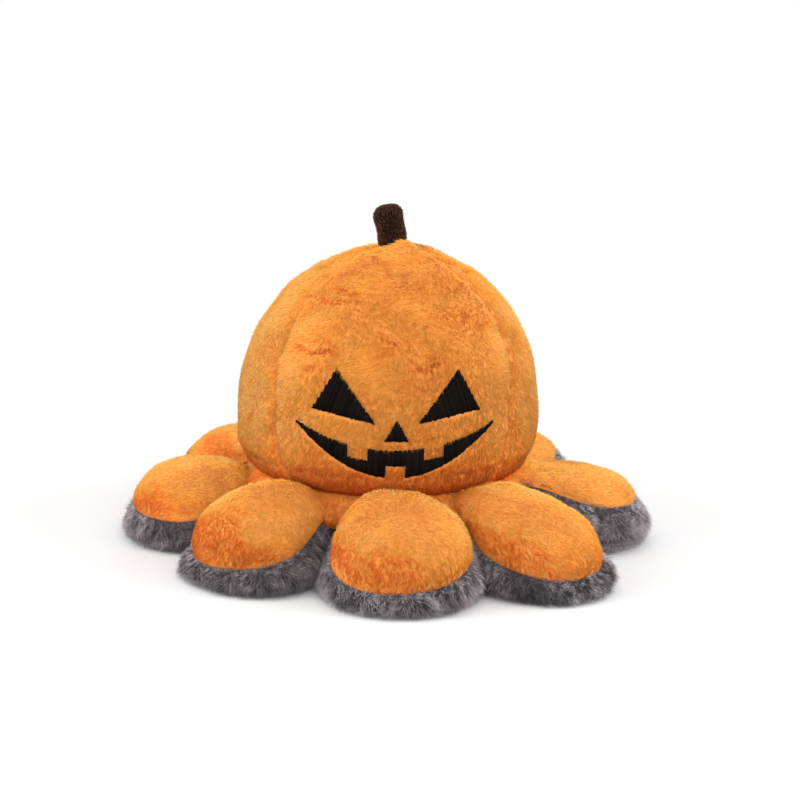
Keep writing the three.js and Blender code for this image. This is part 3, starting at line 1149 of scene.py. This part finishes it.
@dataclass
class Lie:
    """How one leg lies: no two stuffed legs lie quite alike."""
    turn: float  # degrees round the toy, away from its even place
    reach: float  # extra length
    wide: float  # extra half width
    rise: float  # extra height of its top beside the head
    droop: float  # how much lower its crown is towards the tip
    seam: float  # height of its seam at the tip
    slope: float  # how steeply the seam climbs from there to the neck
    roll: float  # how far its grey side stands out beyond its orange one
    tilt: float  # how much higher its seam is on its own left


LIES = {
    1: Lie(0.8, 3 * MM, 0, 4.0 * MM, 0, 9.0 * MM, 0.24, 1 * MM, 2 * MM),
    2: Lie(-6, 8 * MM, -2.5 * MM, 3.5 * MM, 1.5 * MM, 8.5 * MM, 0.24, 2 * MM, 1.5 * MM),
    3: Lie(-5, 0, -1 * MM, -1.5 * MM, 2 * MM, 18 * MM, 0.13, 3.5 * MM, 0),
    4: Lie(0, -4 * MM, -1 * MM, 5.0 * MM, 0, 26 * MM, -0.16, 4 * MM, 5 * MM),
    5: Lie(1, -1 * MM, 0, 2.5 * MM, 0, 11.5 * MM, 0.22, 1 * MM, 0),
    6: Lie(3.5, 1 * MM, 1.5 * MM, 6.0 * MM, 0, 10.5 * MM, 0.22, 1 * MM, 0),
    7: Lie(3, -0.5 * MM, 0.5 * MM, -0.5 * MM, 2 * MM, 13.5 * MM, -0.05, 1 * MM, 0),
    8: Lie(3.5, -2.5 * MM, -2.5 * MM, 3.0 * MM, 0, 8.5 * MM, 0.24, 2.5 * MM, 1.5 * MM),
}


LEG_TURNS = np.linspace(0, 2 * math.pi, 150, endpoint=False)[None]
SEAM_PLACE = 0.965  # where a leg's two cloths meet, as a share of its outline
# How the orange cloth's edge is rolled under: shares of the outline, and depths below the seam
EDGE_ROLL = ((0.90, 0.4 * MM), (SEAM_PLACE, 0.6 * MM), (0.992, 0.4 * MM))
GREY_LOWEST = 2.4 * MM  # height of the flat grey cloth over the floor
FLAT_FUR_TOP = 3.2 * MM  # below it the grey fur lies flat
STUFFING_SHARE = 0.87  # of a leg's outline
STUFFING_GAP = 2 * MM
STUFFING_LOW = 4.5 * MM  # height of its underside
STUFFING_ROOT = 54 * MM  # how near it comes to the toy's middle
# The way that the legs' sides with the most painted shade face
SHADED_SIDE = unit(np.array([-0.75, -0.55, -0.1]))


def arch(share, power):
    """The height of a blunt arch: 1 in its middle, 0 at its ends."""
    return np.sqrt(np.clip(1 - share ** power, 0, 1))


def blunt(values):
    return np.sign(values) * np.abs(values) ** (2 / LEG_OVAL_POWER)


def neck_share(out):
    """How wide a leg is at each place outward, as a share of its even width: it narrows to its neck."""
    return 1 - LEG_NECK_TAPER * smooth_step(out, LEG_MIDDLE + 4 * MM, 60 * MM)


class Leg:
    """One leg. A place on it is outward from the toy's middle and sideways, to the leg's own left."""

    def __init__(self, number):
        self.number = number
        self.lie = LIES[number]
        turn = math.radians(self.lie.turn)
        angle = turn - math.pi / 2 + 2 * math.pi * (number - 1) / LEGS
        self.way = np.array([math.cos(angle), math.sin(angle), 0])
        self.beside = np.array([-self.way[1], self.way[0], 0])

    def placed(self, out, side, height):
        """Points of the leg in the toy's frame."""
        side = side * neck_share(out)
        return out[..., None] * self.way + side[..., None] * self.beside + height[..., None] * UP

    def places(self, points):
        """The reverse of placed(): outward and sideways of points."""
        out = points @ self.way
        return out, points @ self.beside / neck_share(out)

    def oval(self):
        """The outline in plan round the leg's own middle, as outward and sideways."""
        along, across = np.cos(LEG_TURNS), np.sin(LEG_TURNS)
        reach = np.where(along > 0, LEG_TIP + self.lie.reach - LEG_MIDDLE, LEG_ROOT)
        return blunt(along) * reach, blunt(across) * (LEG_HALF + self.lie.wide)

    def seam_height(self, out, side):
        """Height of the seam between the orange and the grey side."""
        lie = self.lie
        neck = LEG_SEAM_AT_NECK * smooth_step(out, LEG_MIDDLE + 8 * MM, 64 * MM)
        tilt = lie.tilt * side / LEG_HALF * smooth_step(out, 60 * MM, 80 * MM)
        return lie.seam + (LEG_TIP + lie.reach - out) * lie.slope + neck + tilt

    def top_height(self, out, side, share):
        """Height of the orange side. share is 0 over the leg's middle and 1 at its outline."""
        seam = self.seam_height(out, side)
        rise = self.lie.rise * smooth_step(out, LEG_MIDDLE + 6 * MM, 66 * MM)
        rise = rise - self.lie.droop * smooth_step(out, 74 * MM, 98 * MM)
        return seam + (LEG_TOP + rise - seam) * arch(share, LEG_CROWN_POWER)

    def height_over(self, out, side):
        """Height of the orange side at places, carried on downwards outside its outline."""
        reach = np.where(out > LEG_MIDDLE, LEG_TIP - LEG_MIDDLE, LEG_ROOT)
        along = np.abs((out - LEG_MIDDLE) / reach) ** LEG_OVAL_POWER
        across = np.abs(side / (LEG_HALF + self.lie.wide)) ** LEG_OVAL_POWER
        share = (along + across) ** (1 / LEG_OVAL_POWER)
        outside = self.seam_height(out, side) - 30 * MM * (share - 1)
        return np.where(share < 1, self.top_height(out, side, share), outside)

    def puffed(self, net):
        """How far the simulated cloth of the orange side moves, at each point of its net."""
        coarse = net[::2, ::2]
        held = coarse @ self.way < 60 * MM
        held[:2] = True
        row, column = np.meshgrid(*(np.arange(count) / 2 for count in net.shape[:2]), indexing="ij")
        return between(puff(coarse, held, 0.03), row, column)

    def beyond_neck(self, skin):
        return skin.keep_faces(lambda middles: middles @ self.way > SKIRT_INNER)

    def top_skin(self):
        """The orange cloth, with its edge rolled under to the seam. Rows run from the edge up."""
        x, y = self.oval()
        rows = []
        for share, drop in EDGE_ROLL:
            out = LEG_MIDDLE + share * x
            rows.append(self.placed(out, share * y, self.seam_height(out, share * y) - drop))
        share = np.cos(np.linspace(0, math.pi / 2, 34)[:, None])
        out = LEG_MIDDLE + share * x
        rows.append(self.placed(out, share * y, self.top_height(out, share * y, share)))
        net = np.concatenate(rows)
        skin = Skin(net + self.puffed(net), closed=True)
        lumps = 0.7 * MM * swell(skin.points, 24 * MM, 40 + self.number)
        lumps = lumps + 0.25 * MM * swell(skin.points, 8 * MM, 50 + self.number)
        free = smooth_step(np.repeat(np.arange(skin.rows), skin.columns), 3, 9)
        return self.beyond_neck(skin.raise_by(lumps * free))

    def low_skin(self):
        """The grey cloth: flat belly, round side and in again to the seam. Rows run from the belly up."""
        x, y = self.oval()
        wider = 1 + self.lie.roll / LEG_HALF * smooth_step(LEG_MIDDLE + x, 66 * MM, 84 * MM)
        x, y = x * wider, y * wider
        share = np.sin(np.linspace(0.02, math.pi / 2, 26)[:, None])
        widest = 0.5 + 0.3 * self.lie.tilt / (12 * MM)
        half = widest * self.seam_height(LEG_MIDDLE + share * x, share * y)
        below = np.maximum(half - half * arch(share, LEG_BELLY_POWER), GREY_LOWEST)
        rows = [self.placed(LEG_MIDDLE + share * x, share * y, below)]
        for turn in np.linspace(0, math.pi / 2, 10)[1:]:
            share = 1 - (1 - SEAM_PLACE / wider) * (1 - math.cos(turn))
            out = LEG_MIDDLE + share * x
            above = self.seam_height(out, share * y) * (widest + (0.99 - widest) * math.sin(turn))
            rows.append(self.placed(out, share * y, above))
        return self.beyond_neck(Skin(np.concatenate(rows), closed=True))

    def stuffing_skin(self):
        """The stuffing, a little inside the cloth. Rows run from its belly up to its top."""
        x, y = self.oval()
        rise = np.linspace(-math.pi / 2 + 0.02, math.pi / 2 - 0.02, 36)[:, None]
        share = np.cos(rise)
        out = LEG_MIDDLE + STUFFING_SHARE * share * x
        side = STUFFING_SHARE * share * y
        seam = self.seam_height(out, side) - STUFFING_GAP
        top = self.top_height(out, side, share) - STUFFING_GAP
        low = seam - (seam - STUFFING_LOW) * arch(share, LEG_BELLY_POWER)
        height = np.where(rise > 0, top, low)
        return Skin(self.placed(np.maximum(out, STUFFING_ROOT), side, height), closed=True)

    def comb(self, roots, normals):
        """Orange pile: combed outward and down over the leg, with swirls."""
        _, side = self.places(roots)
        fan = side[:, None] / LEG_HALF * 0.8
        angles = 0.45 * swell(roots, 15 * MM, 60 + self.number)
        angles = angles + 0.22 * swell(roots, 5 * MM, 70 + self.number)
        return swirled(self.way + self.beside * fan - 0.35 * UP, normals, angles)

    def keep(self, roots, normals):
        return roots @ self.way > 52 * MM

    def scale(self, roots, normals):
        """Shorter pile next to the seam."""
        above = roots[:, 2] - self.seam_height(*self.places(roots))
        return 0.5 + 0.5 * smooth_step(above, 0, 5 * MM)

    def tint(self, roots, normals):
        """Golden on top, as a painted highlight; redder and darker low down, by the neck and on sides
        that face left and to the front, in uneven patches, as painted shade.
        """
        # Painted highlight on the top, painted shade low down
        high = smooth_step(roots[:, 2], 17 * MM, 28 * MM)
        low = smooth_step(roots[:, 2], 24 * MM, 9 * MM)
        # Painted shade on sides that face left and to the front, in uneven patches
        shaded_facing = normals @ SHADED_SIDE + 0.22 * swell(roots, 13 * MM, 80 + self.number)
        shaded_facing = shaded_facing + 0.08 * swell(roots, 3 * MM, 90 + self.number)
        # Painted shade in the crease by the neck
        neck = smooth_step(roots @ self.way, 66 * MM, 57 * MM)
        red = 0.3 * low + 0.6 * smooth_step(shaded_facing, 0.35, 0.85) + 0.35 * neck
        plain = PLAIN_TINT * (1 - 0.7 * high) + 0.07 * swell(roots, 8 * MM, 95 + self.number)
        return np.minimum(plain + red, RED_TINT)

    def fringe_comb(self, roots, normals):
        """Grey fur: out from the leg's middle, hanging a little, but standing where the seam is high."""
        seam = self.seam_height(*self.places(roots))
        rise = 1.6 * smooth_step(seam, 24 * MM, 30 * MM) - 0.8
        away = unit((roots - self.way * LEG_MIDDLE) * LEVEL)
        angles = 0.8 * swell(roots, 9 * MM, 160 + self.number)
        return swirled(away + UP * rise[:, None], normals, angles)

    def fringe_keep(self, roots, normals):
        return (roots[:, 2] > FLAT_FUR_TOP) & (roots @ self.way > 56 * MM)

    def fringe_scale(self, roots, normals):
        """Shorter fur near the floor, and right under a low seam."""
        seam = self.seam_height(*self.places(roots))
        under = smooth_step(roots[:, 2] / seam, 0.6, 1) * smooth_step(seam, 32 * MM, 24 * MM)
        return (1 - 0.65 * under) * (0.85 + 0.15 * smooth_step(roots[:, 2], 3 * MM, 8 * MM))

    def flat_keep(self, roots, normals):
        return (roots[:, 2] <= FLAT_FUR_TOP) & (roots @ self.way > 58 * MM)

    def carry(self, made):
        """Bakes the piece's place into its mesh, where it stays."""
        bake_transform(made)

    def add(self, finishes):
        number, name, carry = self.number, f"leg_{self.number}", self.carry
        top, low, stuffing = self.top_skin(), self.low_skin(), self.stuffing_skin()
        fur, fibre = finishes["grey_fur"], finishes["white_fibre"]
        add_cloth(f"{name}_cover", top, finishes["orange_cloth"], carry, f"{name}_top")
        add_pile(
            f"{name}_pile", top, LEG_PILE, finishes["orange_pile"], carry, self.comb, 300 + number,
            keep=self.keep, tint=self.tint, scale=self.scale,
        )
        add_cloth(f"{name}_belly", low, finishes["grey_cloth"], carry, f"{name}_fur")
        add_cloth(f"{name}_stuffing", stuffing, fibre, carry, f"{name}_filling")
        add_pile(
            f"{name}_fringe", low, GREY_FRINGE, fur, carry, self.fringe_comb, 400 + number,
            keep=self.fringe_keep, tint=fur_tint(170 + number), scale=self.fringe_scale,
        )
        add_pile(
            f"{name}_under_fur", low, GREY_FLAT, fur, carry, self.fringe_comb, 500 + number,
            keep=self.flat_keep, tint=fur_tint(180 + number),
        )


def fur_tint(seed):
    """Darker tufts here and there; darker near the floor as painted shade, and paler on the toy's outer
    sides as a painted rim light.
    """
    def tint(roots, normals):
        # Painted shade near the floor
        low = smooth_step(roots[:, 2], 9 * MM, 3 * MM)
        # Painted rim light on the toy's outer sides, left and right
        outer = smooth_step(np.abs(normals[:, 0]), 0.45, 0.85) * smooth_step(roots[:, 2], 4 * MM, 11 * MM)
        return np.clip(0.36 + 0.3 * low + 0.3 * swell(roots, 6 * MM, seed) - 0.36 * outer, 0, 0.9)
    return tint


# Skirt, underside and pocket

def web_share(angles):
    """1 midway between two legs, 0 along each leg."""
    return 0.5 - 0.5 * np.cos(LEGS * (angles + math.pi / 2))


def skirt_height(radius, angles, legs):
    """Height of the skirt's cloth: webs that fall to their notches, blended into the legs beside them."""
    fall = np.clip((radius - SKIRT_INNER) / (WEB_NOTCH - SKIRT_INNER), 0, 1.2)
    heights = [WEB_TOP - WEB_DROP * fall ** 2.2 + 0 * angles]
    points = around(radius, angles, 0 * radius)
    for leg in legs:
        out, side = leg.places(points)
        heights.append(np.where(out > 0, leg.height_over(out, side), 0))
    soft = 2.0 * MM
    blended = soft * np.log(sum(np.exp((height - WEB_TOP) / soft) for height in heights))
    return blended + WEB_TOP - 1.4 * MM


def skirt_skin(legs):
    angles = np.linspace(-math.pi, math.pi, 480, endpoint=False)[None]
    inner = SKIRT_APOTHEM + 2 * MM
    edge = inner + (WEB_NOTCH - inner) * web_share(angles) ** 2
    radius = SKIRT_INNER + (edge - SKIRT_INNER) * np.linspace(1, 0, 16)[:, None]
    height = skirt_height(radius, angles, legs)
    rolled = [(edge - 1.6 * MM, height[:1] - 2.6 * MM), (edge - 0.2 * MM, height[:1] - 1.6 * MM)]
    rows = [around(r, angles, h) for r, h in (*rolled, (radius, height))]
    skin = Skin(np.concatenate(rows), closed=True)
    return skin.raise_by(0.3 * MM * swell(skin.points, 7 * MM, 61))


def skirt_comb(roots, normals):
    return swirled(unit(roots * LEVEL), normals, 0.5 * swell(roots, 6 * MM, 62))


def skirt_keep(roots, normals):
    angles = np.arctan2(roots[:, 1], roots[:, 0])
    return (web_share(angles) > 0.25) & (np.hypot(roots[:, 0], roots[:, 1]) > 51 * MM)


def skirt_shade_tint(roots, normals):
    # Painted shade: redder and darker near the crease by the head and the webs' outer edge; elsewhere a
    # little redder than plain pile, with uneven tone
    off = np.abs(np.hypot(roots[:, 0], roots[:, 1]) - 57 * MM)
    return 0.5 + 0.3 * np.clip(off / (6 * MM), 0, 1) + 0.15 * swell(roots, 6 * MM, 63)


def underside_skin():
    """The grey cloth under the toy, from the pocket's mouth to the skirt's edge and up its outside."""
    angles = np.linspace(-math.pi, math.pi, 360, endpoint=False)[None]
    nearest = wrapped(LEGS * (angles + math.pi / 2)) / LEGS
    edge = np.minimum(SKIRT_APOTHEM / np.cos(nearest), SKIRT_CORNER) - 0.6 * MM
    rim = edge - 2 * MM
    mouth = POCKET_RADIUS + 1.5 * MM
    rows = [(POCKET_RADIUS + 0.3 * MM, UNDERSIDE + 1 * MM)]
    rows += [(rim + (mouth - rim) * share, GREY_LOWEST) for share in np.linspace(1, 0.1, 16)]
    rows += [(rim, GREY_LOWEST), (edge - 0.6 * MM, 3.4 * MM)]
    rows += [(edge, height) for height in (6 * MM, 12 * MM, 18.5 * MM)]
    return Skin(np.concatenate([around(r, angles, h) for r, h in rows]), closed=True)


def under_comb(roots, normals):
    return swirled(unit(roots * LEVEL) - 0.3 * UP, normals, 0.8 * swell(roots, 8 * MM, 64))


def pocket_dome(radius, crown, turns):
    """The [radius, height] points of a dome over the pocket's straight part."""
    return [(radius * math.cos(turn), POCKET_STRAIGHT + crown * math.sin(turn)) for turn in turns]


def pocket_skin():
    """The grey head turned in: its cloth, seen from inside the pocket."""
    straight = [(POCKET_RADIUS, h) for h in np.linspace(UNDERSIDE + 1 * MM, POCKET_STRAIGHT, 20)]
    dome = pocket_dome(POCKET_RADIUS, POCKET_CROWN, np.linspace(0, math.pi / 2 * 0.99, 24)[1:])
    angles = np.linspace(math.pi, -math.pi, 120, endpoint=False)
    return Skin(revolved(evenly(straight + dome, 60), angles), closed=True)


def add_skirt(legs, finishes):
    skin = skirt_skin(legs)
    add_cloth("skirt_cover", skin, finishes["orange_cloth"], riding("head"), "skirt_top")
    add_pile(
        "skirt_pile", skin, LEG_PILE, finishes["orange_pile"], riding("head"), skirt_comb, 600,
        keep=skirt_keep, tint=skirt_shade_tint,
    )


def add_underside(finishes):
    """The flat underside and the pocket, with their flat grey fur."""
    cloth, fur, carry = finishes["grey_cloth"], finishes["grey_fur"], riding("head")
    flat = underside_skin()
    add_cloth("underside", flat, cloth, carry, "skirt_underside")
    add_pile("underside_fur", flat, GREY_FLAT, fur, carry, under_comb, 610, tint=fur_tint(65))
    pocket = pocket_skin()
    add_cloth("pocket", pocket, cloth, carry, "pocket_lining")
    add_pile("pocket_fur", pocket, GREY_FLAT, fur, carry, constant_way(-UP), 620, tint=fur_tint(66))


# Stem

def stem_skin(radius, top):
    """The stem's outside: round at its foot, about which it tilts, and blunt at its tip."""
    foot = [(radius * math.cos(a), radius * math.sin(a)) for a in np.linspace(-1.5, 0, 12)]
    low = top - STEM_PIVOT - STEM_TIP
    turns = np.linspace(0, 1.55, 20)
    tip = [(radius * math.cos(a) ** (2 / 3), low + STEM_TIP * math.sin(a) ** (2 / 3)) for a in turns]
    angles = np.linspace(-math.pi, math.pi, 60, endpoint=False)
    skin = Skin(revolved(evenly(foot + tip, 44), angles), closed=True)
    skin.raise_by(0.2 * MM * swell(skin.points, 5 * MM, 71))
    tilt = np.array([
        [math.cos(STEM_LEAN), 0, math.sin(STEM_LEAN)],
        [0, 1, 0],
        [-math.sin(STEM_LEAN), 0, math.cos(STEM_LEAN)],
    ])
    skin.points = skin.points @ tilt + np.array([STEM_ASIDE, 0, STEM_PIVOT])
    skin.normals = skin.find_normals()
    return skin


def add_stem(finish):
    skin = stem_skin(STEM_RADIUS, STEM_TOP)
    add_cloth("stem", skin, finish, riding("stem"), "stem_cover")
    add_pile("stem_pile", skin, BROWN_PILE, finish, riding("stem"), constant_way((-0.3, 0, 1.0)), 700)


# Stuffing

STUFFING_INSET = 2.6 * MM
POCKET_ROOM = 1.5 * MM
STEM_ROOM = 1.5 * MM


def ring_skin(profile):
    """A closed ring round the Z axis, from a closed profile of [radius, height] points."""
    angles = np.linspace(-math.pi, math.pi, 120, endpoint=False)
    return Skin(revolved(evenly(profile, 60), angles), closed=True)


def head_stuffing_skin():
    """The fibre between the head's cloth and the pocket, with room above it for the stem's foot."""
    top = STEM_PIVOT - STEM_RADIUS - STEM_ROOM
    outside = [(radius, min(height, top)) for radius, height in head_profile(STUFFING_INSET)[1:]]
    gap = POCKET_RADIUS + POCKET_ROOM
    dome = pocket_dome(gap, POCKET_CROWN + POCKET_ROOM, np.linspace(math.pi / 2, 0, 24))
    pocket = [(radius + 0.01 * MM, height) for radius, height in dome]
    return ring_skin([*outside, *pocket, (gap, HEAD_FOOT), outside[0]])


def skirt_stuffing_skin():
    """The ring of fibre round the pocket's mouth."""
    inner, outer = POCKET_RADIUS + POCKET_ROOM, SKIRT_APOTHEM - 5 * MM
    low, high, bevel = 5 * MM, HEAD_FOOT - 2 * MM, 8 * MM
    corners = [(inner, low), (outer, low), (outer, high - bevel), (outer - bevel, high), (inner, high)]
    return ring_skin([*corners, corners[0]])


def add_stuffing(finish):
    core = stem_skin(STEM_RADIUS - 1.2 * MM, STEM_TOP - 1.5 * MM)
    add_cloth("head_stuffing", head_stuffing_skin(), finish, riding("head"), "head_filling")
    add_cloth("skirt_stuffing", skirt_stuffing_skin(), finish, riding("head"), "skirt_filling")
    add_cloth("stem_stuffing", core, finish, riding("stem"), "stem_filling")


# Studio

FLOOR_REACH = 4.0
FADE_START = 0.16
FADE_END = 0.45


def make_floor():
    """A pale floor, which the camera sees turn white further out."""
    mesh = bpy.data.meshes.new("floor")
    corners = [(x * FLOOR_REACH, y * FLOOR_REACH, 0) for x, y in ((-1, -1), (1, -1), (1, 1), (-1, 1))]
    mesh.from_pydata(corners, [], [(0, 1, 2, 3)])
    floor = bpy.data.objects.new("floor", mesh)
    bpy.context.scene.collection.objects.link(floor)
    material, paint = new_material("floor")
    place = paint.value(paint.node("ShaderNodeTexCoord"), "Object")
    away = paint.value(paint.node("ShaderNodeVectorMath", {"operation": "LENGTH"}, {0: place}), "Value")
    fade = {"Value": away, "From Min": FADE_START, "From Max": FADE_END, "To Min": 0.0, "To Max": 1.0}
    share = paint.node("ShaderNodeMapRange", {"interpolation_type": "SMOOTHSTEP"}, fade)
    pale = paint.mix(paint.seen(), rgb(0.42, 0.415, 0.41), rgb(0.70, 0.695, 0.69))
    matt = paint.node("ShaderNodeBsdfDiffuse", None, {"Color": pale})
    white = paint.node("ShaderNodeEmission", None, {"Color": WHITE, "Strength": 1.0})
    inputs = {0: paint.seen() * paint.value(share), 1: paint.value(matt), 2: paint.value(white)}
    paint.surface(paint.node("ShaderNodeMixShader", None, inputs))
    mesh.materials.append(material)


def make_world():
    world = bpy.data.worlds.new("world")
    bpy.context.scene.world = world
    world.use_nodes = True
    paint = Paint(world.node_tree)
    colour = paint.mix(paint.seen(), rgb(0.89, 0.89, 0.90), WHITE)
    background = paint.node("ShaderNodeBackground", None, {"Color": colour, "Strength": 1.0})
    paint.node("ShaderNodeOutputWorld", None, {"Surface": paint.value(background)})


LAMP_AIM = (0, 0, 0.06)
LAMPS = {  # place, width and power
    "top": ((0.1, -0.25, 1.2), 1.1, 2.5),
    "front": ((0.1, -1.4, 0.6), 0.9, 7.5),
    "left": ((-1.2, -0.2, 0.5), 0.9, 14),
    "right": ((1.2, -0.2, 0.5), 0.9, 14),
}


def add_lamp(name, place, width, power):
    data = bpy.data.lights.new(name, "AREA")
    data.shape = "SQUARE"
    data.size = width
    data.energy = power
    lamp = bpy.data.objects.new(name, data)
    bpy.context.scene.collection.objects.link(lamp)
    lamp.location = place
    lamp.rotation_euler = (Vector(place) - Vector(LAMP_AIM)).to_track_quat("Z", "Y").to_euler()


def make_lights():
    for name, (place, width, power) in LAMPS.items():
        add_lamp(name, place, width, power)


def build():
    bpy.context.scene.view_settings.view_transform = "Standard"
    make_camera()
    finishes = make_finishes()
    legs = [Leg(number) for number in LIES]
    add_head(finishes)
    add_face(finishes["black_thread"])
    add_skirt(legs, finishes)
    add_underside(finishes)
    for leg in legs:
        leg.add(finishes)
    add_stem(finishes["brown_pile"])
    add_stuffing(finishes["white_fibre"])
    make_floor()
    make_world()
    make_lights()


build()
